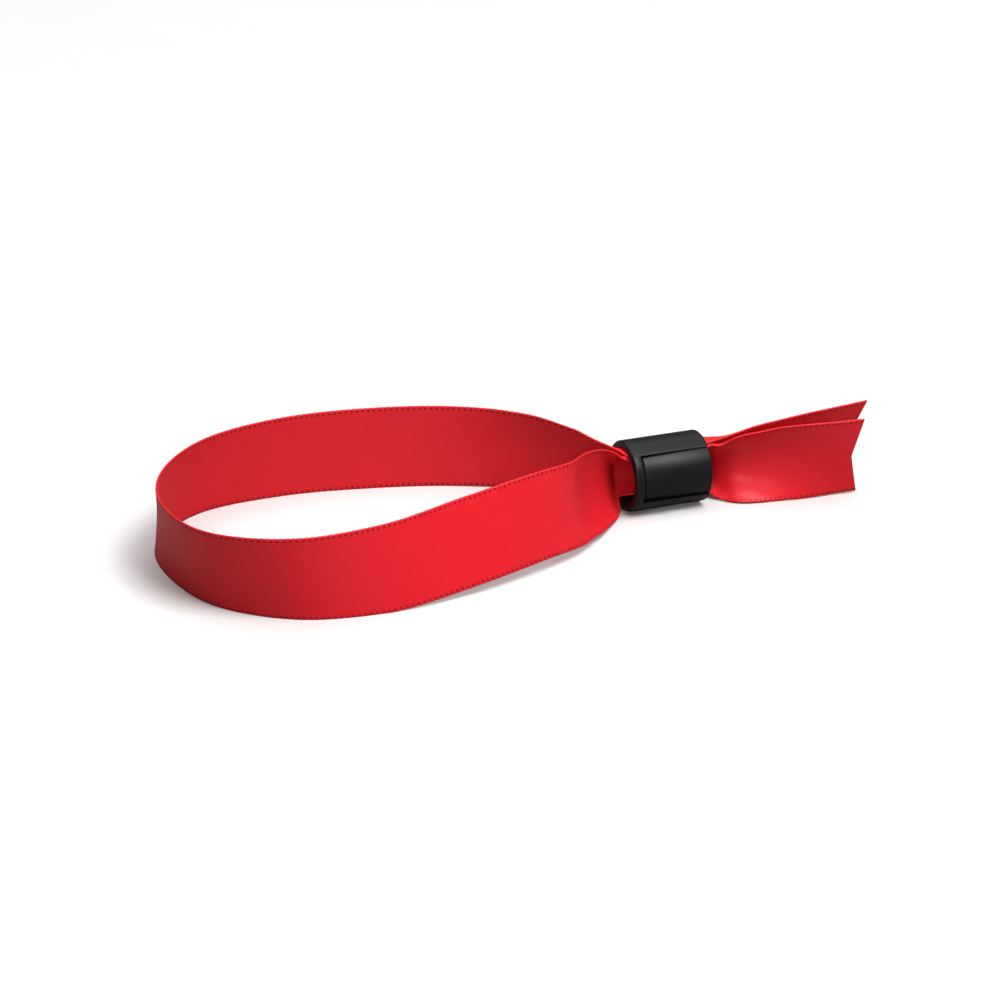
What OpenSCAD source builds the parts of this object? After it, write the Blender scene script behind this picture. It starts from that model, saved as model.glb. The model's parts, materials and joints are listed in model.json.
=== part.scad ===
// Satin ribbon wristband with a one-way barrel lock.
// One length of ribbon makes the wrist loop. Both its ends pass through the barrel, curled one inside
// the other, and come out as two tails with notched ends. Pulling the tails, or pushing the barrel
// towards the loop, tightens the band. A toothed flap in the barrel's window holds the ribbon.
// Origin: on the surface the band stands on, straight below the barrel's axis, in the middle of the
// wrist loop. +X runs along the barrel from the loop to the tails, +Z is up. All sizes in millimetres.

/* [Ribbon] */
// Width of the ribbon
ribbon_w = 15; // [14.5:0.1:15.2]
// Thickness of the woven ribbon
ribbon_t = 0.35; // [0.25:0.05:0.35]
// Depth of the notch in each tail's end
notch_depth = 1.6; // [0.8:0.2:3]

/* [Barrel] */
// Outer diameter of the barrel
barrel_d = 12.5; // [12.5:0.1:13]
// Length of the barrel
barrel_l = 14.5; // [14:0.5:15]
// Thickness of the barrel's wall
barrel_wall = 1.25; // [1.2:0.05:1.4]
// Radius of the barrel's rounded rims
rim_round = 0.4; // [0.2:0.1:0.5]
// Height of the barrel's axis above the surface that the band stands on
axis_h = 6.4; // [6.4:0.1:7]
// Distance from the origin to the barrel's middle
lock_x = 48; // [46:1:50]

/* [Window and flap] */
// Width of the window across the barrel
window_w = 8.4; // [8:0.1:8.6]
// Width of the closed collar at the loop end of the barrel
collar_l = 1.5; // [1.3:0.1:1.7]
// How far the window faces upwards from level
window_tilt = 9; // [0:1:15]
// How far the flap's hinge end lies below the barrel's surface
flap_sink = 0.65; // [0.5:0.05:0.8]
// How far the flap rises from its hinge end to its free end
flap_rise = 2.8; // [2:0.1:3]
// Thickness of the flap's curved plate
flap_t = 0.6; // [0.5:0.05:0.65]
// Number of teeth under the flap
teeth = 4; // [3:1:5]

/* [Hidden] */
$fn = 96;

ribbon_red = "#e01b2e";
barrel_black = "#1b1b1d";

barrel_r = barrel_d / 2;
bore_r = barrel_r - barrel_wall;
lie_gap = 0.025;                                        // between one layer in the bore and the next
back_r = bore_r - lie_gap - ribbon_t / 2;               // mid-surface of the outer, back strand
front_r = back_r - ribbon_t - 2 * lie_gap;              // mid-surface of the inner, front strand
bore_turn = 25;                                         // how far the strands' middles lie above level
half_w = ribbon_w / 2;

hinge_x = -4.7;                                         // flap hinge, from the barrel's middle
hinge_y = -3.4;
pin_r = 0.45;
pin_gap = 0.05;
pin_reach = 0.38;                                       // how far each pin goes into the wall
pin_root = 0.45;                                        // and how far it runs inside the window
side_gap = 0.12;                                        // between the flap and the window's sides
flap_start = -5.15;
flap_end = barrel_l / 2 - 0.05;
tooth_pitch = 2.1;
tooth_first = -1.1;
tooth_half_w = 2.9;
tooth_gap = 0.06;                                       // between the teeth's tips and the ribbon

// The ribbon's middle line, from the front tail's end, through the barrel, round the loop, back
// through the barrel and out to the back tail's end. Each row is [x, y, z, lean, curl]: lean tips the
// upper edge sideways in degrees, and curl is 0 where the ribbon is flat and 1 or -1 where it is
// rolled to the radius that it has in the bore.
mouth = lock_x - barrel_l / 2;
outlet = lock_x + barrel_l / 2;
function bore_y(r) = r * cos(bore_turn);
function bore_z(r) = axis_h + r * sin(bore_turn);
route = [
  [82, -9.2, 7.6, 13, 0],                               // 0: front tail's end
  [77, -8.5, 7.65, 12, 0.06],
  [72, -6.8, 7.55, 8, 0.2],
  [67.5, -4.7, 7.35, 4, 0.37],
  [64.2, -3.1, 6.85, 1, 0.5],                           // 4: front tail is nearly free
  [61, -1.2, 6.3, -2, 0.64],
  [58.2, 2.4, 5.5, 1, 0.9],
  [56.6, 3.7, 6.9, 11, 0.97],
  [outlet, bore_y(front_r), bore_z(front_r), bore_turn, 1],   // 8: front strand leaves the barrel
  [mouth, bore_y(front_r), bore_z(front_r), bore_turn, 1],    // 9: front strand enters the barrel
  [39.7, 2.6, 6.1, 5, 0.88],
  [38, 0.5, 5.75, -8, 0.7],
  [35.7, -2.3, 6.3, -14, 0.53],
  [32.5, -5.9, 7.3, -15, 0.38],
  [29, -10.1, 8.4, -12, 0.24],                          // 14: front neck joins the loop
  [24.6, -15.6, 9.35, -9, 0.09],
  [18, -19.2, 9.8, -11, 0],
  [3, -23.2, 8.9, -16, 0],
  [-13, -25.5, 7.4, -8, 0],
  [-28, -24, 7.35, 6, 0],
  [-39, -14.5, 7.2, 13, 0],
  [-42, 0.5, 7.35, 7, 0],                               // 21: far end of the loop
  [-38, 15, 7.35, -8, 0],
  [-27.5, 25.5, 7.3, -10, 0],
  [-12, 28.8, 7.4, -3, 0],
  [3.5, 27, 7.45, 1, 0],
  [18.5, 21.8, 7.55, -1, 0],
  [26.5, 17, 7.6, -5, -0.06],
  [31.5, 13, 7.55, -6, -0.24],                          // 28: loop joins the back neck
  [34.5, 9.9, 7.1, -4, -0.48],
  [37, 7.1, 6.8, -4, -0.72],
  [39.4, 4.95, 7.4, -12, -0.9],
  [mouth, bore_y(back_r), bore_z(back_r), -bore_turn, -1],    // 32: back strand enters the barrel
  [outlet, bore_y(back_r), bore_z(back_r), -bore_turn, -1],   // 33: back strand leaves the barrel
  [57.8, 4.2, 7.2, -14, -0.94],
  [60.5, 3.7, 5.9, -2, -0.86],
  [65, 1.9, 6.45, 0, -0.68],                            // 36: back tail is nearly free
  [69.5, 0.1, 7.25, -4, -0.5],
  [74, -0.7, 7.95, -12, -0.32],
  [79.5, -1.3, 8.45, -20, -0.12],
  [85.5, -1.7, 9.1, -26, 0]                             // 40: back tail's end
];
front_tail_end = 0;
front_tail_root = 4;
front_outlet = 8;
front_mouth = 9;
front_join = 14;
back_join = 28;
back_mouth = 32;
back_outlet = 33;
back_tail_root = 36;
back_tail_end = 40;
mouth_gap = 0.01;                                       // in rows, between a neck's end and the barrel
end_gap = 0.015;                                        // between a neck and the barrel's end planes
square_from = 0.5;                                      // curl above which sections lie square to the barrel

// Straight distance between two rows of the route
function step_length(a, b) = norm([b[0] - a[0], b[1] - a[1], b[2] - a[2]]);

// How the route's row i changes per millimetre, so that the curve through the rows is smooth
function slope(i) =
  i == 0 ? (route[1] - route[0]) / step_length(route[0], route[1]) :
  i == len(route) - 1 ? (route[i] - route[i - 1]) / step_length(route[i - 1], route[i]) :
  let (before = step_length(route[i - 1], route[i]), after = step_length(route[i], route[i + 1]))
  ((route[i] - route[i - 1]) * after / before + (route[i + 1] - route[i]) * before / after)
    / (before + after);

// The row at position u along the route, where u counts rows and can lie between two of them
function row_at(u) =
  let (i = min(floor(u), len(route) - 2), t = u - i, l = step_length(route[i], route[i + 1]))
  (2 * t ^ 3 - 3 * t ^ 2 + 1) * route[i] + (t ^ 3 - 2 * t ^ 2 + t) * l * slope(i)
    + (3 * t ^ 2 - 2 * t ^ 3) * route[i + 1] + (t ^ 3 - t ^ 2) * l * slope(i + 1);

// The direction that the route runs in at u, one millimetre long
function heading_at(u) =
  let (
    i = min(floor(u), len(route) - 2), t = u - i, l = step_length(route[i], route[i + 1]),
    d = (6 * t ^ 2 - 6 * t) * (route[i] - route[i + 1]) + (3 * t ^ 2 - 4 * t + 1) * l * slope(i)
      + (3 * t ^ 2 - 2 * t) * l * slope(i + 1)
  )
  [d[0], d[1], d[2]] / norm([d[0], d[1], d[2]]);

// A point of the ribbon's mid-surface: u along the route and w across it from the middle line. Where
// the ribbon is flat its section is square to the route. The more it is curled, the more its section
// is square to the barrel's axis.
function surface_point(u, w) =
  let (
    row = row_at(u), along = heading_at(u), curl = row[4], lean = row[3],
    square = min(1, abs(curl) / square_from),
    blend = (1 - square) * [-along[1], along[0], 0] + square * [0, -sign(curl), 0],
    side = blend / norm(blend),
    across = cos(lean) * [0, 0, 1] + sin(lean) * side, face = cos(lean) * side - sin(lean) * [0, 0, 1],
    bend = curl / (curl > 0 ? front_r : back_r), turn = bend * w * 180 / PI,
    flat = abs(bend) < 0.0001,
    rise = flat ? w : sin(turn) / bend, sag = flat ? 0 : (1 - cos(turn)) / bend
  )
  [row[0], row[1], row[2]] + rise * across + sag * face;

// The same point moved h off the mid-surface
function ribbon_point(u, w, h) =
  let (
    du = surface_point(min(u + 0.01, back_tail_end), w) - surface_point(max(u - 0.01, front_tail_end), w),
    dw = surface_point(u, w + 0.01) - surface_point(u, w - 0.01),
    normal = cross(dw, du)
  )
  surface_point(u, w) + h * normal / norm(normal);

// The ribbon between two positions on the route, in steps along it and parts across it
module ribbon_stretch(from, to, steps, parts) {
  ring = 2 * (parts + 1);
  points = [
    for (i = [0:steps]) let (u = from + (to - from) * i / steps) each concat(
      [for (j = [0:parts]) ribbon_point(u, ribbon_w * (j / parts - 0.5), ribbon_t / 2)],
      [for (j = [parts:-1:0]) ribbon_point(u, ribbon_w * (j / parts - 0.5), -ribbon_t / 2)]
    )
  ];
  walls = [
    for (i = [0:steps - 1], j = [0:ring - 1])
      let (a = i * ring + j, b = i * ring + (j + 1) % ring) each [[a, b, b + ring], [a, b + ring, a + ring]]
  ];
  ends = [
    for (j = [0:parts - 1])
      let (k = ring - 1 - j, last = steps * ring)
      each [
        [j, k, k - 1], [j, k - 1, j + 1],
        [last + j, last + k - 1, last + k], [last + j, last + j + 1, last + k - 1]
      ]
  ];
  color(ribbon_red) polyhedron(points, concat(walls, ends));
}

// A half-round layer of ribbon inside the bore, open towards the flap and downwards
module layer_in_bore(mid_r) {
  opening = 180 - half_w / mid_r * 180 / PI;
  far = 2 * barrel_d;
  color(ribbon_red) in_barrel() rotate(bore_turn) difference() {
    cylinder(r = mid_r + ribbon_t / 2, h = barrel_l, center = true);
    cylinder(r = mid_r - ribbon_t / 2, h = barrel_l + 1, center = true);
    linear_extrude(barrel_l + 1, center = true)
      polygon([
        [0, 0], far * [-cos(opening), sin(opening)], far * [-1, 1], far * [-1, -1],
        far * [-cos(opening), -sin(opening)]
      ]);
  }
}

// Puts what is drawn round Z onto the barrel's axis, with its X towards +Y and its Y towards +Z
module in_barrel() {
  translate([lock_x, 0, axis_h]) rotate([90, 0, 90]) children();
}

// Puts what is drawn with X along the barrel, from its middle, into the tilted barrel
module at_lock() {
  translate([lock_x, 0, axis_h]) rotate([-window_tilt, 0, 0]) children();
}

// A triangular cutter that takes the notch out of a tail's end, where way points out of the ribbon
module notch(u, way) {
  row = row_at(u);
  out = way * heading_at(u);
  slant = half_w / notch_depth;
  translate([row[0], row[1], row[2]]) rotate(atan2(out[1], out[0])) rotate([90, 0, 0])
    linear_extrude(4, center = true)
      polygon([[-notch_depth, 0], [1, half_w + slant], [1, -half_w - slant]]);
}

module ribbon_loop() {
  difference() {
    ribbon_stretch(front_join, back_join, 84, 6);
    // the lower edge rests flat on the surface that the band stands on
    translate([-lock_x, -lock_x, -5]) cube([2 * lock_x, 2 * lock_x, 5]);
  }
}

// Trims what is drawn just short of the barrel's two end planes
module outside_barrel() {
  difference() {
    children();
    translate([mouth - end_gap, -barrel_d, -barrel_d])
      cube([barrel_l + 2 * end_gap, 2 * barrel_d, 3 * barrel_d]);
  }
}

module ribbon_front_neck() {
  outside_barrel() ribbon_stretch(front_mouth + mouth_gap, front_join, 20, 16);
}

module ribbon_back_neck() {
  outside_barrel() ribbon_stretch(back_join, back_mouth - mouth_gap, 18, 16);
}

module ribbon_front_in_barrel() { layer_in_bore(front_r); }

module ribbon_back_in_barrel() { layer_in_bore(back_r); }

module ribbon_front_tail_neck() {
  outside_barrel() ribbon_stretch(front_tail_root, front_outlet - mouth_gap, 15, 16);
}

module ribbon_back_tail_neck() {
  outside_barrel() ribbon_stretch(back_outlet + mouth_gap, back_tail_root, 15, 16);
}

module ribbon_front_tail() {
  difference() {
    ribbon_stretch(front_tail_end, front_tail_root, 16, 12);
    notch(front_tail_end, -1);
  }
}

module ribbon_back_tail() {
  difference() {
    ribbon_stretch(back_tail_root, back_tail_end, 16, 12);
    notch(back_tail_end, 1);
  }
}

module barrel_shell() {
  straight = barrel_l - 2 * rim_round;
  color(barrel_black) at_lock() difference() {
    rotate([0, 90, 0]) rotate_extrude() {
      translate([bore_r, -barrel_l / 2]) square([barrel_wall - rim_round, barrel_l]);
      translate([bore_r, -straight / 2]) square([barrel_wall, straight]);
      for (end = [-1, 1]) translate([barrel_r - rim_round, end * straight / 2]) circle(rim_round, $fn = 32);
    }
    // the window, closed by the collar at the loop end and open at the tail end
    translate([collar_l - barrel_l / 2, -barrel_r - 1, -window_w / 2])
      cube([barrel_l, barrel_r + 1 - sqrt(bore_r ^ 2 - (window_w / 2) ^ 2) + 0.1, window_w]);
    // blind sockets for the flap's pins
    translate([hinge_x, hinge_y, 0])
      cylinder(r = pin_r + pin_gap, h = window_w + 2 * (pin_reach + pin_gap), center = true, $fn = 32);
  }
}

// Tilts the flap's plate about the hinge, so that its free end lies level with the barrel
module plate_tilt() {
  translate([hinge_x, hinge_y, 0]) rotate(-flap_rise) translate([-hinge_x, -hinge_y, 0]) children();
}

module lock_flap() {
  plate_w = window_w - 2 * side_gap;
  plate_r = barrel_r - flap_sink;
  tip_r = front_r - ribbon_t / 2 - tooth_gap;
  color(barrel_black) at_lock() {
    // curved plate, low at the hinge and level with the barrel at its free end
    plate_tilt() intersection() {
      translate([flap_start, 0, 0]) rotate([0, 90, 0]) difference() {
        cylinder(r = plate_r, h = flap_end - flap_start);
        translate([0, 0, -1]) cylinder(r = plate_r - flap_t, h = flap_end - flap_start + 2);
      }
      translate([flap_start - 1, -barrel_r, -plate_w / 2]) cube([barrel_l + 2, 4, plate_w]);
    }
    // teeth that lean towards the tails, rooted in the plate
    intersection() {
      for (i = [0:teeth - 1]) translate([tooth_first + i * tooth_pitch, 0, 0])
        linear_extrude(2 * tooth_half_w, center = true)
          polygon([[-0.8, -plate_r], [0.7, -plate_r], [1, tip_r + 0.1], [0.65, tip_r + 0.1]]);
      union() {
        rotate([0, 90, 0]) cylinder(r = tip_r, h = 2 * barrel_l, center = true);
        translate([-barrel_l, -barrel_r, -tooth_half_w]) cube([2 * barrel_l, barrel_r - 2, 2 * tooth_half_w]);
      }
      plate_tilt() rotate([0, 90, 0]) cylinder(r = plate_r - flap_t / 3, h = 3 * barrel_l, center = true);
    }
    // hinge pins
    for (end = [-1, 1]) translate([hinge_x, hinge_y, end * (window_w + pin_reach - pin_root) / 2])
      cylinder(r = pin_r, h = pin_reach + pin_root, center = true, $fn = 32);
  }
}

ribbon_loop();
ribbon_front_neck();
ribbon_back_neck();
ribbon_front_in_barrel();
ribbon_back_in_barrel();
ribbon_front_tail_neck();
ribbon_back_tail_neck();
ribbon_front_tail();
ribbon_back_tail();
barrel_shell();
lock_flap();
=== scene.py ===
"""Satin ribbon wristband with a black barrel lock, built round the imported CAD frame.

Everything is in metres in the row frame: the band stands on z = 0, and +X runs along the barrel
from the wrist loop to the two tails."""

import json
import math

import bmesh
import bpy
import numpy as np
from mathutils import Matrix, Vector


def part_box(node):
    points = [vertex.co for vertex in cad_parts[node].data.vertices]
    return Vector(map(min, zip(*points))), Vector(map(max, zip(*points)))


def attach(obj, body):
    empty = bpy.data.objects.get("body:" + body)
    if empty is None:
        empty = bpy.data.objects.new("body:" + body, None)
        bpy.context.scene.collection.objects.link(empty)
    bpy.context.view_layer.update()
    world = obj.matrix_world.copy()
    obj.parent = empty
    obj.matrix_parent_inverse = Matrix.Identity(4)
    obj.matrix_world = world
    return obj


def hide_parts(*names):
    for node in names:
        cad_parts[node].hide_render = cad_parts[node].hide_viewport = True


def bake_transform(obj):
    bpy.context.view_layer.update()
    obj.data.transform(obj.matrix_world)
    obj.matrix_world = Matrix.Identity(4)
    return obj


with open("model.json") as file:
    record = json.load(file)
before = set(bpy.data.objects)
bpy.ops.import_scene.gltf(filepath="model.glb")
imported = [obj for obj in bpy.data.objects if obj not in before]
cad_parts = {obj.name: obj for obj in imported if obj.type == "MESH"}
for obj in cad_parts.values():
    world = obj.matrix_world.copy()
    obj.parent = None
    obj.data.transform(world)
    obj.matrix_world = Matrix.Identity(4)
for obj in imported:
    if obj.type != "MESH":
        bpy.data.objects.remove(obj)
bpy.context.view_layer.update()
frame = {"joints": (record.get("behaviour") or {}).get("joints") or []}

MM = 0.001


# ---------------------------------------------------------------- Barrel
# A moulded tube of black plastic, 12.5 mm across, that both strands of the ribbon run through. Its
# window is closed by a collar at the loop end and open at the tail end, and has a blind socket in
# each side wall for the flap's pins.
barrel_lo, barrel_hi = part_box("barrel_shell")
barrel_mid = (barrel_lo + barrel_hi) / 2
barrel_r = (barrel_hi.y - barrel_lo.y) / 2
barrel_half = (barrel_hi.x - barrel_lo.x) / 2
hinge = next(j for j in frame["joints"] if j["name"] == "flap_hinge")
hinge_axis = Vector(hinge["axis"])
window_tilt = math.atan2(hinge_axis.y, -hinge_axis.z)      # the window faces a little upwards
in_lock = Matrix.Translation(barrel_mid) @ Matrix.Rotation(window_tilt, 4, "X")
hinge_at = in_lock.inverted() @ Vector(hinge["pos_m"])

WALL = 1.25 * MM
RIM_ROUND = 0.4 * MM
BORE_ROUND = 0.2 * MM
COLLAR = 1.5 * MM
WINDOW_HALF = 4.2 * MM
PIN_R = 0.45 * MM
SOCKET_R = 0.5 * MM
SOCKET_DEEP = 0.43 * MM
TUBE_STEPS = 96
WINDOW_STEPS = 12                                           # columns from the window's middle to its edge
EDGE_ROUND = 0.1 * MM
CRISP = math.radians(35)                                    # edges sharper than this are rounded
SMOOTH = math.radians(50)                                   # and duller ones than this shaded smooth


def set_smooth(bm):
    """Smooth shading, with the sharper edges left crisp."""
    for face in bm.faces:
        face.smooth = True
    for edge in bm.edges:
        edge.smooth = not (len(edge.link_faces) == 2 and edge.calc_face_angle() > SMOOTH)


def finished_piece(name, bm, place=None):
    """An object at the origin, with its place in its mesh."""
    if place is not None:
        bmesh.ops.transform(bm, matrix=place, verts=bm.verts)
    mesh = bpy.data.meshes.new(name)
    bm.to_mesh(mesh)
    bm.free()
    piece = bpy.data.objects.new(name, mesh)
    bpy.context.scene.collection.objects.link(piece)
    return piece


def rounded_profile(bm, corners, rounds):
    """A closed outline of straight edges in the XZ plane, with its corners rounded."""
    verts = [bm.verts.new((x, 0, z)) for x, z in corners]
    for a, b in zip(verts, verts[1:] + verts[:1]):
        bm.edges.new((a, b))
    for radius in sorted(set(r for r in rounds if r)):
        bmesh.ops.bevel(bm, geom=[v for v, r in zip(verts, rounds) if r == radius], offset=radius,
                        offset_type="OFFSET", segments=5, profile=0.5, affect="VERTICES", material=-1)
    return list(bm.edges)


def barrel_tube():
    bm = bmesh.new()
    bore = barrel_r - WALL
    seam = COLLAR - barrel_half
    outline = rounded_profile(
        bm,
        [(-barrel_half, bore), (-barrel_half, barrel_r), (seam, barrel_r), (barrel_half, barrel_r),
         (barrel_half, bore), (seam, bore)],
        [BORE_ROUND, RIM_ROUND, 0, RIM_ROUND, BORE_ROUND, 0])
    bmesh.ops.spin(bm, geom=outline, cent=(0, 0, 0), axis=(1, 0, 0), angle=math.tau, steps=TUBE_STEPS,
                   use_merge=True, use_duplicate=False)
    # draw the columns together until one lies on each straight edge of the window
    edge_turn = math.tau * WINDOW_STEPS / TUBE_STEPS
    for v in bm.verts:
        r = math.hypot(v.co.y, v.co.z)
        turn = math.atan2(v.co.z, -v.co.y)
        wanted = math.asin(WINDOW_HALF / r)
        if abs(turn) <= edge_turn:
            turn *= wanted / edge_turn
        else:
            rest = (math.pi - abs(turn)) / (math.pi - edge_turn)
            turn = math.copysign(math.pi - rest * (math.pi - wanted), turn)
        v.co.y, v.co.z = -r * math.cos(turn), r * math.sin(turn)
    inside = [f for f in bm.faces
              if f.calc_center_median().x > seam and f.calc_center_median().y < 0
              and max(abs(v.co.z) for v in f.verts) < WINDOW_HALF + 1e-6]
    bmesh.ops.delete(bm, geom=inside, context="FACES")
    # close the wall round the window
    rim = [e for e in bm.edges if e.is_boundary]
    end_arcs = [e for e in rim if all(abs(v.co.x - seam) < 1e-7 for v in e.verts)]
    bmesh.ops.bridge_loops(bm, edges=end_arcs)
    for side in (-1, 1):
        line = [e for e in bm.edges if e.is_boundary and all(side * v.co.z > 0 for v in e.verts)]
        bmesh.ops.contextual_create(bm, geom=line)
    bmesh.ops.recalc_face_normals(bm, faces=bm.faces)
    crisp = [e for e in bm.edges if len(e.link_faces) == 2 and e.calc_face_angle() > CRISP]
    bmesh.ops.bevel(bm, geom=crisp, offset=EDGE_ROUND, offset_type="OFFSET", segments=2, profile=0.5,
                    affect="EDGES", material=-1, clamp_overlap=True)
    set_smooth(bm)
    return finished_piece("barrel", bm)


def drill_sockets(piece):
    """Blind round sockets for the flap's pins, in the window's side walls."""
    bm = bmesh.new()
    for side in (-1, 1):
        deep = WINDOW_HALF + SOCKET_DEEP
        made = bmesh.ops.create_cone(bm, cap_ends=True, segments=32, radius1=SOCKET_R, radius2=SOCKET_R,
                                     depth=2 * MM)
        bmesh.ops.translate(bm, verts=made["verts"], vec=(hinge_at.x, hinge_at.y, side * (deep - MM)))
    cutter = finished_piece("cutter", bm)
    cut = piece.modifiers.new("sockets", "BOOLEAN")
    cut.operation, cut.solver, cut.object = "DIFFERENCE", "EXACT", cutter
    bpy.context.view_layer.update()
    mesh = bpy.data.meshes.new_from_object(piece.evaluated_get(bpy.context.evaluated_depsgraph_get()))
    piece.modifiers.clear()
    piece.data = mesh
    bpy.data.objects.remove(cutter)


def node_links(material):
    """The material's node tree and its shader."""
    material.use_nodes = True
    return material.node_tree, material.node_tree.nodes["Principled BSDF"]


def add_node(tree, kind, inputs=None, **settings):
    """A node with its settings and its fixed inputs; an input that is a socket is linked."""
    node = tree.nodes.new(kind)
    for name, value in settings.items():
        setattr(node, name, value)
    for key, value in (inputs or {}).items():
        if isinstance(value, bpy.types.NodeSocket):
            tree.links.new(value, node.inputs[key])
        else:
            node.inputs[key].default_value = value
    return node


def maths(tree, operation, a, b=0.0, c=0.0):
    return add_node(tree, "ShaderNodeMath", {0: a, 1: b, 2: c}, operation=operation).outputs[0]


def grain_group():
    """Fine moulded grain with a few soft scuffs, on object coordinates."""
    group = bpy.data.node_groups.new("moulded_grain", "ShaderNodeTree")
    for name in ("Grain", "Scuffs", "Cloud"):
        group.interface.new_socket(name, in_out="OUTPUT", socket_type="NodeSocketFloat")
    out = group.nodes.new("NodeGroupOutput")
    place = group.nodes.new("ShaderNodeTexCoord").outputs["Object"]
    grain = add_node(group, "ShaderNodeTexNoise",
                     {"Vector": place, "Scale": 9000.0, "Detail": 3.0, "Roughness": 0.6})
    cloud = add_node(group, "ShaderNodeTexNoise",
                     {"Vector": place, "Scale": 260.0, "Detail": 3.0, "Roughness": 0.55})
    drawn = add_node(group, "ShaderNodeMapping",
                     {"Vector": place, "Rotation": (0.3, 0.15, 0.5), "Scale": (260.0, 5200.0, 5200.0)})
    scuff = add_node(group, "ShaderNodeTexNoise",
                     {"Vector": drawn.outputs[0], "Scale": 1.0, "Detail": 2.0, "Roughness": 0.5})
    keen = add_node(group, "ShaderNodeMapRange",
                    {"Value": scuff.outputs[0], "From Min": 0.66, "From Max": 0.74}, clamp=True)
    group.links.new(grain.outputs[0], out.inputs["Grain"])
    group.links.new(keen.outputs[0], out.inputs["Scuffs"])
    group.links.new(cloud.outputs[0], out.inputs["Cloud"])
    return group


moulded_grain = grain_group()


def black_plastic(name, base, rough, bump):
    material = bpy.data.materials.new(name)
    tree, shader = node_links(material)
    grain = add_node(tree, "ShaderNodeGroup")
    grain.node_tree = moulded_grain
    ramp = add_node(tree, "ShaderNodeValToRGB", {0: grain.outputs["Cloud"]})
    ramp.color_ramp.elements[0].position, ramp.color_ramp.elements[1].position = 0.35, 0.7
    ramp.color_ramp.elements[0].color = base
    ramp.color_ramp.elements[1].color = tuple(1.35 * c for c in base[:3]) + (1,)
    tree.links.new(ramp.outputs[0], shader.inputs["Base Color"])
    worn = maths(tree, "MULTIPLY_ADD", grain.outputs["Scuffs"], 0.10, rough)
    clouded = maths(tree, "MULTIPLY_ADD", grain.outputs["Cloud"], 0.08, worn)
    tree.links.new(clouded, shader.inputs["Roughness"])
    rise = maths(tree, "MULTIPLY_ADD", grain.outputs["Scuffs"], -0.6, grain.outputs["Grain"])
    bumps = add_node(tree, "ShaderNodeBump", {"Height": rise, "Strength": bump, "Distance": 0.00002})
    tree.links.new(bumps.outputs[0], shader.inputs["Normal"])
    shader.inputs["IOR"].default_value = 1.5
    shader.inputs["Specular IOR Level"].default_value = 0.25
    return material


barrel_plastic = black_plastic("barrel_plastic", (0.004, 0.004, 0.005, 1), 0.40, 0.2)
barrel = barrel_tube()
drill_sockets(barrel)
barrel.data.transform(in_lock)
barrel.data.materials.clear()
barrel.data.materials.append(barrel_plastic)
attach(barrel, "lock_barrel")
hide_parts("barrel_shell")


# ---------------------------------------------------------------- Flap
# A curved plate of the same plastic that snaps into the window on two pins. It lies a little below
# the barrel's surface at its hinge and level with it at its free end, and four teeth under it bite
# the ribbon when the loop is pulled.
FLAP_SINK = 0.65 * MM
FLAP_RISE = math.radians(2.8)
FLAP_T = 0.6 * MM
FLAP_START = -5.15 * MM                                     # its hinge end, along the barrel
FLAP_GAP = 0.05 * MM                                        # to the window's sides
FLAP_END_GAP = 0.05 * MM                                    # to the barrel's tail end
FLAP_ROUND = 0.14 * MM
PIN_REACH = 0.38 * MM
PIN_ROOT = 0.45 * MM
PLATE_STEPS = 28
TEETH = 4
TOOTH_PITCH = 2.1 * MM
TOOTH_FIRST = -1.1 * MM
TOOTH_HALF = 2.9 * MM
TOOTH_ROOT_HALF = 0.75 * MM
TOOTH_TIP_HALF = 0.175 * MM
TOOTH_LEAN = 0.825 * MM
front_layer_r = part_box("ribbon_front_in_barrel")[1].y       # outside of the inner layer of ribbon
RIBBON_T = 0.35 * MM
TOOTH_CLEAR = 0.06 * MM
TOOTH_TIP_R = front_layer_r - RIBBON_T - TOOTH_CLEAR
plate_tilt = (Matrix.Translation(hinge_at) @ Matrix.Rotation(-FLAP_RISE, 4, "Z")
              @ Matrix.Translation(-hinge_at))


def flap_plate(bm):
    """The plate, bent from a flat strip, with its edges rounded."""
    end = barrel_half - FLAP_END_GAP
    half = WINDOW_HALF - FLAP_GAP
    outer = barrel_r - FLAP_SINK
    made = bmesh.ops.create_grid(bm, x_segments=1, y_segments=PLATE_STEPS, size=1)
    for v in made["verts"]:
        turn = math.asin(half / outer) * v.co.y
        v.co = ((FLAP_START + end) / 2 + v.co.x * (end - FLAP_START) / 2,
                -outer * math.cos(turn), outer * math.sin(turn))
    top = list(bm.faces)
    bmesh.ops.recalc_face_normals(bm, faces=top)
    grown = bmesh.ops.extrude_face_region(bm, geom=top)
    low = [v for v in grown["geom"] if isinstance(v, bmesh.types.BMVert)]
    inner = outer - FLAP_T
    for v in low:
        v.co.y = -math.sqrt(inner ** 2 - v.co.z ** 2)      # the sides stay flat and parallel
    bmesh.ops.recalc_face_normals(bm, faces=bm.faces)
    crisp = [e for e in bm.edges if len(e.link_faces) == 2 and e.calc_face_angle() > CRISP]
    bmesh.ops.bevel(bm, geom=crisp, offset=FLAP_ROUND, offset_type="OFFSET", segments=3, profile=0.5,
                    affect="EDGES", material=-1, clamp_overlap=True)
    bmesh.ops.transform(bm, matrix=plate_tilt, verts=bm.verts)


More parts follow.
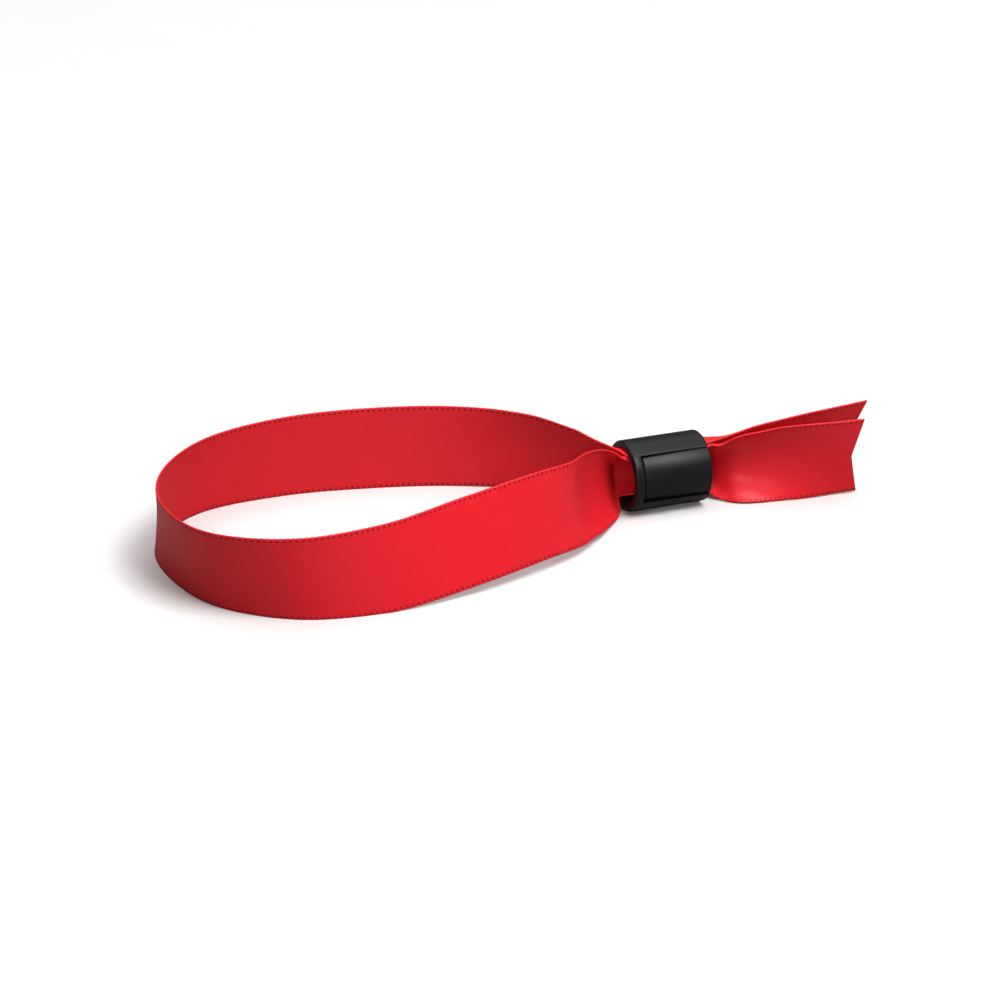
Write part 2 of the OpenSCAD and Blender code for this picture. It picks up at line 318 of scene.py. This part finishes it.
def flap_tooth(bm, x):
    """One tooth: a wedge that leans towards the tails, from inside the plate to the ribbon."""
    made = bmesh.ops.create_grid(bm, x_segments=1, y_segments=12, size=1)
    root_r = barrel_r - FLAP_SINK - FLAP_T / 2
    for v in made["verts"]:
        z = v.co.y * TOOTH_HALF
        v.co = (x + v.co.x * TOOTH_ROOT_HALF, -math.sqrt(root_r ** 2 - z ** 2), z)
        v.co.y = (plate_tilt @ v.co).y
    root = list({f for v in made["verts"] for f in v.link_faces})
    grown = bmesh.ops.extrude_face_region(bm, geom=root)
    tips = [v for v in grown["geom"] if isinstance(v, bmesh.types.BMVert)]
    for v in tips:
        lean = TOOTH_LEAN + (v.co.x - x) / TOOTH_ROOT_HALF * TOOTH_TIP_HALF
        v.co = (x + lean, math.sqrt(TOOTH_TIP_R ** 2 - v.co.z ** 2), v.co.z)


def lock_flap_piece():
    bm = bmesh.new()
    flap_plate(bm)
    for i in range(TEETH):
        flap_tooth(bm, TOOTH_FIRST + i * TOOTH_PITCH)
    for side in (-1, 1):
        inner, outer = WINDOW_HALF - PIN_ROOT, WINDOW_HALF + PIN_REACH
        made = bmesh.ops.create_cone(bm, cap_ends=True, segments=24, radius1=PIN_R, radius2=PIN_R,
                                     depth=outer - inner)
        bmesh.ops.translate(bm, verts=made["verts"],
                            vec=(hinge_at.x, hinge_at.y, side * (inner + outer) / 2))
    bmesh.ops.recalc_face_normals(bm, faces=bm.faces)
    set_smooth(bm)
    return finished_piece("lock_flap_plate", bm, in_lock)


flap_plastic = black_plastic("flap_plastic", (0.004, 0.004, 0.005, 1), 0.38, 0.2)
flap = lock_flap_piece()
flap.data.materials.append(flap_plastic)
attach(flap, "flap")
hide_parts("lock_flap")


# ---------------------------------------------------------------- Ribbon
# One 15 mm satin ribbon, shiny outside and ribbed inside, with a row of small loops of weft thread
# along each selvedge. It goes through the barrel, round the wrist and back through the barrel, and
# each end is cut to a shallow notch. It is woven flat, and then bent to its route.
RIBBON_W = 15.0                                             # in millimetres, like all the ribbon
T = RIBBON_T / MM
HALF_W = RIBBON_W / 2
NOTCH = 1.6                                                 # depth of the cut in each end
NOTCH_FADE = 8.0                                            # how far along the cut shifts the mesh
PICOT_PITCH = 1.0                                           # from one edge loop to the next
PICOT_STEPS = 5
PICOT_RISE = 0.035                                          # the loops on the faces
PICOT_REACH = 0.03                                          # and past the edge
PICOT_SINK = 0.02
SQUARE_FROM = 0.5                                           # curl from which it lies square to the bore

BORE_TURN = 25                                              # degrees that the strands lie above level
mouth, outlet = barrel_lo.x / MM, barrel_hi.x / MM
axis_h = barrel_mid.z / MM
front_r = front_layer_r / MM - T / 2
back_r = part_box("ribbon_back_in_barrel")[1].y / MM - T / 2


def bore_y(r):
    return r * math.cos(math.radians(BORE_TURN))


def bore_z(r):
    return axis_h + r * math.sin(math.radians(BORE_TURN))


# The route of the middle line, [x, y, z, lean, curl], as in the CAD source
route = np.array([
    [82, -9.2, 7.6, 13, 0],                                 # front tail's end
    [77, -8.5, 7.65, 12, 0.06],
    [72, -6.8, 7.55, 8, 0.2],
    [67.5, -4.7, 7.35, 4, 0.37],
    [64.2, -3.1, 6.85, 1, 0.5],
    [61, -1.2, 6.3, -2, 0.64],
    [58.2, 2.4, 5.5, 1, 0.9],
    [56.6, 3.7, 6.9, 11, 0.97],
    [outlet, bore_y(front_r), bore_z(front_r), BORE_TURN, 1],   # front strand in the barrel
    [mouth, bore_y(front_r), bore_z(front_r), BORE_TURN, 1],
    [39.7, 2.6, 6.1, 5, 0.88],
    [38, 0.5, 5.75, -8, 0.7],
    [35.7, -2.3, 6.3, -14, 0.53],
    [32.5, -5.9, 7.3, -15, 0.38],
    [29, -10.1, 8.4, -12, 0.24],
    [24.6, -15.6, 9.35, -9, 0.09],
    [18, -19.2, 9.8, -11, 0],
    [3, -23.2, 8.9, -16, 0],
    [-13, -25.5, 7.4, -8, 0],
    [-28, -24, 7.35, 6, 0],
    [-39, -14.5, 7.2, 13, 0],
    [-42, 0.5, 7.35, 7, 0],                                 # far end of the loop
    [-38, 15, 7.35, -8, 0],
    [-27.5, 25.5, 7.3, -10, 0],
    [-12, 28.8, 7.4, -3, 0],
    [3.5, 27, 7.45, 1, 0],
    [18.5, 21.8, 7.55, -1, 0],
    [26.5, 17, 7.6, -5, -0.06],
    [31.5, 13, 7.55, -6, -0.24],
    [34.5, 9.9, 7.1, -4, -0.48],
    [37, 7.1, 6.8, -4, -0.72],
    [39.4, 4.95, 7.4, -12, -0.9],
    [mouth, bore_y(back_r), bore_z(back_r), -BORE_TURN, -1],    # back strand in the barrel
    [outlet, bore_y(back_r), bore_z(back_r), -BORE_TURN, -1],
    [57.8, 4.2, 7.2, -14, -0.94],
    [60.5, 3.7, 5.9, -2, -0.86],
    [65, 1.9, 6.45, 0, -0.68],
    [69.5, 0.1, 7.25, -4, -0.5],
    [74, -0.7, 7.95, -12, -0.32],
    [79.5, -1.3, 8.45, -20, -0.12],
    [85.5, -1.7, 9.1, -26, 0],                              # back tail's end
], float)
FRONT_OUTLET, BACK_MOUTH = 8, 32                            # where the straight stretches in the bore begin
LAST = len(route) - 1
span = np.linalg.norm(np.diff(route[:, :3], axis=0), axis=1)
slope = np.empty_like(route)
slope[0], slope[-1] = (route[1] - route[0]) / span[0], (route[-1] - route[-2]) / span[-1]
ahead, behind = span[1:, None], span[:-1, None]
slope[1:-1] = ((route[1:-1] - route[:-2]) * ahead / behind
               + (route[2:] - route[1:-1]) * behind / ahead) / (ahead + behind)


def row_at(u):
    """The route's row at u, which counts rows and can lie between two of them, and its heading."""
    i = np.minimum(np.floor(u).astype(int), LAST - 1)
    t, length = (u - i)[:, None], span[i][:, None]
    a, b, sa, sb = route[i], route[i + 1], slope[i], slope[i + 1]
    row = ((2 * t**3 - 3 * t**2 + 1) * a + (t**3 - 2 * t**2 + t) * length * sa
           + (3 * t**2 - 2 * t**3) * b + (t**3 - t**2) * length * sb)
    d = ((6 * t**2 - 6 * t) * (a - b) + (3 * t**2 - 4 * t + 1) * length * sa
         + (3 * t**2 - 2 * t) * length * sb)
    in_bore = ((i == FRONT_OUTLET) | (i == BACK_MOUTH))[:, None]
    row, d = np.where(in_bore, a + t * (b - a), row), np.where(in_bore, b - a, d)
    heading = d[:, :3] / np.linalg.norm(d[:, :3], axis=1, keepdims=True)
    return row, heading


def middle_surface(u, w):
    """A point of the ribbon's middle surface, u along the route and w across it."""
    row, heading = row_at(u)
    lean, curl = np.radians(row[:, 3]), row[:, 4]
    square = np.minimum(1, np.abs(curl) / SQUARE_FROM)[:, None]
    level = np.stack([-heading[:, 1], heading[:, 0], 0 * curl], 1)
    sideways = np.stack([0 * curl, -np.sign(curl), 0 * curl], 1)
    side = (1 - square) * level + square * sideways
    side /= np.linalg.norm(side, axis=1, keepdims=True)
    up = np.array([0.0, 0.0, 1.0])
    across = np.cos(lean)[:, None] * up + np.sin(lean)[:, None] * side
    face = np.cos(lean)[:, None] * side - np.sin(lean)[:, None] * up
    bend = curl / np.where(curl > 0, front_r, back_r)
    flat = np.abs(bend) < 1e-4
    safe = np.where(flat, 1, bend)
    rise = np.where(flat, w, np.sin(safe * w) / safe)
    sag = np.where(flat, 0, (1 - np.cos(safe * w)) / safe)
    return row[:, :3] + rise[:, None] * across + sag[:, None] * face


fine = np.arange(0, LAST + 1e-9, 0.01)
centre = row_at(fine)[0][:, :3]
run = np.concatenate([[0], np.cumsum(np.linalg.norm(np.diff(centre, axis=0), axis=1))])


def length_to(u):
    """The ribbon's length from the front tail's end to the route's row u, in millimetres."""
    return float(np.interp(u, fine, run))


def on_route(along, w, h):
    """Where a point of the flat ribbon goes: its length along, its place across and its height."""
    u = np.interp(along, run, fine)
    step = 0.01
    du = middle_surface(np.minimum(u + step, LAST), w) - middle_surface(np.maximum(u - step, 0), w)
    dw = middle_surface(u, w + step) - middle_surface(u, w - step)
    normal = np.cross(dw, du)
    normal /= np.linalg.norm(normal, axis=1, keepdims=True)
    place = middle_surface(u, w) + h[:, None] * normal
    place[:, 2] = np.maximum(place[:, 2], 0)                # the lower edge rests on the surface
    return place * MM


SELVEDGE = 0.8                                              # width of the woven edge band
SELVEDGE_RAMP = 0.2
RIM = 0.05                                                  # width of the very edge
RIM_THICK = 0.45                                            # and its share of the thickness
# the mesh's rows across the ribbon, close together at the edges
ROWS = np.array([-7.5, -7.36, -7.1, -6.86, -6.7, -6.45, *np.linspace(-5.4, 5.4, 11),
                 6.45, 6.7, 6.86, 7.1, 7.36, 7.5])


def woven_ribbon(name, start, end, cut_start, cut_end):
    """A stretch of the ribbon from one length along it to another, woven flat and bent to the route."""
    columns = round((end - start) / PICOT_PITCH * PICOT_STEPS)
    bm = bmesh.new()
    bmesh.ops.create_grid(bm, x_segments=columns, y_segments=len(ROWS) - 1, size=1)
    bmesh.ops.solidify(bm, geom=list(bm.faces), thickness=T)
    bm.normal_update()
    uv = bm.loops.layers.uv.new("flat_mm")
    z_mid = sum(v.co.z for v in bm.verts) / len(bm.verts)
    for v in bm.verts:
        x, y = v.co.x, v.co.y
        v.co = (start + (x + 1) / 2 * (end - start), -np.interp(y, np.linspace(-1, 1, len(ROWS)), ROWS),
                math.copysign(T / 2, v.co.z - z_mid))
    for face in bm.faces:
        face.smooth = True
        face.material_index = 0 if face.normal.z > 0.5 else 1
        for loop in face.loops:
            loop[uv].uv = (loop.vert.co.x, loop.vert.co.y)
    mesh = bpy.data.meshes.new(name)
    bm.to_mesh(mesh)
    bm.free()
    flat = np.empty(len(mesh.vertices) * 3)
    mesh.vertices.foreach_get("co", flat)
    along, w, h = flat.reshape(-1, 3).T.copy()
    # loops of weft thread along both selvedges
    loop_rise = (0.5 + 0.5 * np.cos(2 * np.pi * along / PICOT_PITCH)) ** 0.8
    band = np.clip((np.abs(w) - (HALF_W - SELVEDGE)) / SELVEDGE_RAMP, 0, 1)
    rim = np.abs(w) > HALF_W - RIM
    outward = np.clip((np.abs(w) - (HALF_W - 0.5)) / 0.4, 0, 1)
    h = h * np.where(rim, RIM_THICK, 1) + np.sign(h) * band * (PICOT_RISE * loop_rise - PICOT_SINK)
    w = w + np.sign(w) * outward * (PICOT_REACH * loop_rise - PICOT_SINK)
    # the notches in the ends
    into = NOTCH * (1 - np.abs(w) / HALF_W)
    if cut_start:
        along = along + into * np.clip(1 - (along - start) / NOTCH_FADE, 0, 1)
    if cut_end:
        along = along - into * np.clip(1 - (end - along) / NOTCH_FADE, 0, 1)
    mesh.vertices.foreach_set("co", on_route(along, w, h).astype(np.float32).ravel())
    mesh.update()
    piece = bpy.data.objects.new(name, mesh)
    bpy.context.scene.collection.objects.link(piece)
    return piece


def weave_group():
    """Weft ribs, warp streaks and the painted shade between the edge loops of a woven ribbon, from its own
    flat millimetres.
    """
    group = bpy.data.node_groups.new("ribbon_weave", "ShaderNodeTree")
    for name, value in (("Rib Pitch", 0.5), ("Loop Pitch", PICOT_PITCH), ("Gap Row", 7.05),
                        ("Gap Height", 0.28)):
        socket = group.interface.new_socket(name, in_out="INPUT", socket_type="NodeSocketFloat")
        socket.default_value = value
    for name in ("Ribs", "Streaks", "Cloud", "Edge Gap Shade"):
        group.interface.new_socket(name, in_out="OUTPUT", socket_type="NodeSocketFloat")
    feed = group.nodes.new("NodeGroupInput")
    out = group.nodes.new("NodeGroupOutput")
    flat = add_node(group, "ShaderNodeUVMap", uv_map="flat_mm").outputs[0]
    parts = add_node(group, "ShaderNodeSeparateXYZ", {0: flat})
    along, across = parts.outputs[0], parts.outputs[1]
    wander = add_node(group, "ShaderNodeTexNoise",
                      {"Vector": flat, "Scale": 0.9, "Detail": 2.0}).outputs[0]
    shifted = maths(group, "MULTIPLY_ADD", wander, 0.12, along)
    turns = maths(group, "MULTIPLY", shifted, math.tau)
    turns = maths(group, "DIVIDE", turns, feed.outputs["Rib Pitch"])
    ribs = maths(group, "MULTIPLY_ADD", maths(group, "SINE", turns), 0.5, 0.5)
    drawn = add_node(group, "ShaderNodeMapping", {"Vector": flat, "Scale": (0.35, 9.0, 1.0)}).outputs[0]
    streaks = add_node(group, "ShaderNodeTexNoise",
                       {"Vector": drawn, "Scale": 1.0, "Detail": 3.0, "Roughness": 0.6})
    cloud = add_node(group, "ShaderNodeTexNoise",
                     {"Vector": flat, "Scale": 0.12, "Detail": 3.0, "Roughness": 0.55})
    # painted shade: one short dark gap between each edge loop and the next, just inside the edge, where the
    # loops shade the ribbon
    reach = maths(group, "SUBTRACT", maths(group, "ABSOLUTE", across), feed.outputs["Gap Row"])
    reach = maths(group, "DIVIDE", maths(group, "ABSOLUTE", reach), feed.outputs["Gap Height"])
    inside = add_node(group, "ShaderNodeMapRange",
                      {"Value": reach, "From Min": 1.1, "From Max": 0.6}, clamp=True)
    turns = maths(group, "MULTIPLY", along, math.tau)
    turns = maths(group, "DIVIDE", turns, feed.outputs["Loop Pitch"])
    wave = maths(group, "COSINE", turns)
    between = add_node(group, "ShaderNodeMapRange",
                       {"Value": wave, "From Min": 0.0, "From Max": -0.7}, clamp=True)
    gap_shade = maths(group, "MULTIPLY", inside.outputs[0], between.outputs[0])
    for name, socket in (("Ribs", ribs), ("Streaks", streaks.outputs[0]), ("Cloud", cloud.outputs[0]),
                         ("Edge Gap Shade", gap_shade)):
        group.links.new(socket, out.inputs[name])
    return group


ribbon_weave = weave_group()


def mixed(tree, share, a, b):
    """Colour a turning to colour b as share goes from 0 to 1."""
    node = tree.nodes.new("ShaderNodeMix")
    node.data_type = "RGBA"
    for socket, value in ((node.inputs[0], share), (node.inputs[6], a), (node.inputs[7], b)):
        if isinstance(value, bpy.types.NodeSocket):
            tree.links.new(value, socket)
        else:
            socket.default_value = value
    return node.outputs[2]


# painted shade: the dark red of the gaps between the edge loops
GAP_SHADE_RED = (0.16, 0.001, 0.003, 1)


def woven_red(name, light, deep, rough, rib_depth, streak_depth, anisotropy, sheen):
    """One face of the ribbon: light and deep red thread, with painted shade in the valleys between the
    ribs, and ribs and streaks of given depths.
    """
    material = bpy.data.materials.new(name)
    tree, shader = node_links(material)
    weave = add_node(tree, "ShaderNodeGroup")
    weave.node_tree = ribbon_weave
    # painted shade: darker red in the valleys between the weft ribs; the streaks and cloud added next are
    # the thread's own tone
    rib_valley_shade = maths(tree, "SUBTRACT", 1.0, weave.outputs["Ribs"])
    shade = maths(tree, "MULTIPLY", rib_valley_shade, 0.22)
    shade = maths(tree, "MULTIPLY_ADD", weave.outputs["Streaks"], 0.3, shade)
    shade = maths(tree, "MULTIPLY_ADD", weave.outputs["Cloud"], 0.15, shade)
    body = mixed(tree, shade, light, deep)
    # painted shade between the edge loops, laid over the thread's colour
    with_gap_shade = mixed(tree, maths(tree, "MULTIPLY", weave.outputs["Edge Gap Shade"], 0.75), body, GAP_SHADE_RED)
    tree.links.new(with_gap_shade, shader.inputs["Base Color"])
    roughness = maths(tree, "MULTIPLY_ADD", weave.outputs["Streaks"], 0.08, rough)
    roughness = maths(tree, "MULTIPLY_ADD", weave.outputs["Edge Gap Shade"], 0.15, roughness)
    tree.links.new(roughness, shader.inputs["Roughness"])
    height = maths(tree, "MULTIPLY", weave.outputs["Ribs"], rib_depth)
    height = maths(tree, "MULTIPLY_ADD", weave.outputs["Streaks"], streak_depth, height)
    bumps = add_node(tree, "ShaderNodeBump", {"Height": height, "Strength": 1.0, "Distance": MM})
    tree.links.new(bumps.outputs[0], shader.inputs["Normal"])
    shader.inputs["Specular IOR Level"].default_value = 0.3
    shader.inputs["Anisotropic"].default_value = anisotropy
    shader.inputs["Sheen Weight"].default_value = sheen
    shader.inputs["Sheen Roughness"].default_value = 0.4
    shader.inputs["Sheen Tint"].default_value = (1.0, 0.12, 0.14, 1)
    tangent = add_node(tree, "ShaderNodeTangent", direction_type="UV_MAP", uv_map="flat_mm")
    tree.links.new(tangent.outputs[0], shader.inputs["Tangent"])
    return material


satin_face = woven_red("satin_face", (0.82, 0.015, 0.025, 1), (0.58, 0.004, 0.011, 1),
                       0.40, 0.0016, 0.006, 0.5, 0.02)
ribbed_back = woven_red("ribbed_back", (0.84, 0.018, 0.028, 1), (0.60, 0.006, 0.014, 1),
                        0.58, 0.003, 0.005, 0.0, 0.04)

mid_front, mid_back = length_to(FRONT_OUTLET + 0.5), length_to(BACK_MOUTH + 0.5)
ribbon_end = length_to(LAST)
wrist_loop = woven_ribbon("wrist_loop", mid_front, mid_back, False, False)
front_tail = woven_ribbon("front_tail", 0, mid_front, True, False)
back_tail = woven_ribbon("back_tail", mid_back, ribbon_end, False, True)
for piece in (wrist_loop, front_tail, back_tail):
    piece.data.materials.append(satin_face)
    piece.data.materials.append(ribbed_back)
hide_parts("ribbon_loop", "ribbon_front_neck", "ribbon_back_neck",
            "ribbon_front_in_barrel", "ribbon_back_in_barrel")
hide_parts("ribbon_front_tail_neck", "ribbon_front_tail")
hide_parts("ribbon_back_tail_neck", "ribbon_back_tail")
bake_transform(wrist_loop)
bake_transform(front_tail)
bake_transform(back_tail)


# ---------------------------------------------------------------- Floor, light and camera
# A plain white floor and three soft lights: the key from the front right and above, a large one
# high up that also whitens the floor, and a very small one from the left that lifts the tails.
# The floor sends little light back, so that it doesn't wash over the band.
FLOOR = 4.0


def white_floor():
    bm = bmesh.new()
    bmesh.ops.create_grid(bm, x_segments=2, y_segments=2, size=FLOOR)
    floor = finished_piece("floor", bm)
    material = bpy.data.materials.new("white_paper")
    tree, shader = node_links(material)
    noise = add_node(tree, "ShaderNodeTexNoise", {"Scale": 400.0, "Detail": 2.0})
    seen = add_node(tree, "ShaderNodeLightPath").outputs["Is Camera Ray"]
    paper = mixed(tree, noise.outputs[0], (0.76, 0.76, 0.76, 1), (0.78, 0.78, 0.78, 1))
    tree.links.new(mixed(tree, seen, (0.28, 0.28, 0.28, 1), paper), shader.inputs["Base Color"])
    shader.inputs["Roughness"].default_value = 0.9
    shader.inputs["Specular IOR Level"].default_value = 0.0
    floor.data.materials.append(material)


white_floor()


def soft_light(name, place, aim, size, power, spread=180):
    lamp = bpy.data.lights.new(name, "AREA")
    lamp.shape, lamp.size, lamp.size_y, lamp.energy = "RECTANGLE", size[0], size[1], power
    lamp.spread = math.radians(spread)
    light = bpy.data.objects.new(name, lamp)
    bpy.context.scene.collection.objects.link(light)
    light.location = place
    light.rotation_mode = "QUATERNION"
    light.rotation_quaternion = (Vector(aim) - Vector(place)).to_track_quat("-Z", "Y")


soft_light("key", place=(0.42, -0.85, 1.5), aim=(0, 0, 0), size=(0.9, 0.8), power=32)
soft_light("top", place=(0.1, 1.0, 3.0), aim=(0, 0.3, 0), size=(4.0, 4.0), power=84)
soft_light("tails", place=(-0.16, -0.38, 0.17), aim=(0.06, 0.01, 0.008), size=(0.08, 0.08), power=0.02,
           spread=34)

world = bpy.data.worlds.new("studio")
bpy.context.scene.world = world
world.use_nodes = True
backdrop = world.node_tree.nodes["Background"]
backdrop.inputs["Color"].default_value = (1, 1, 1, 1)
backdrop.inputs["Strength"].default_value = 0.10

CAMERA_AZIMUTH, CAMERA_ELEVATION = math.radians(-22.54), math.radians(21.59)
CAMERA_AWAY = 0.7
CAMERA_AIM = Vector((0.02235, 0.01097, 0.00076))
lens = bpy.data.cameras.new("camera")
lens.lens, lens.sensor_width = 144.65, 36
lens.clip_start, lens.clip_end = 0.01, 30
camera = bpy.data.objects.new("camera", lens)
bpy.context.scene.collection.objects.link(camera)
back = Vector((math.sin(CAMERA_AZIMUTH) * math.cos(CAMERA_ELEVATION),
               -math.cos(CAMERA_AZIMUTH) * math.cos(CAMERA_ELEVATION), math.sin(CAMERA_ELEVATION)))
camera.location = CAMERA_AIM + back * CAMERA_AWAY
camera.rotation_mode = "QUATERNION"
camera.rotation_quaternion = (-back).to_track_quat("-Z", "Y")
bpy.context.scene.camera = camera
bpy.context.scene.view_settings.view_transform = "Standard"
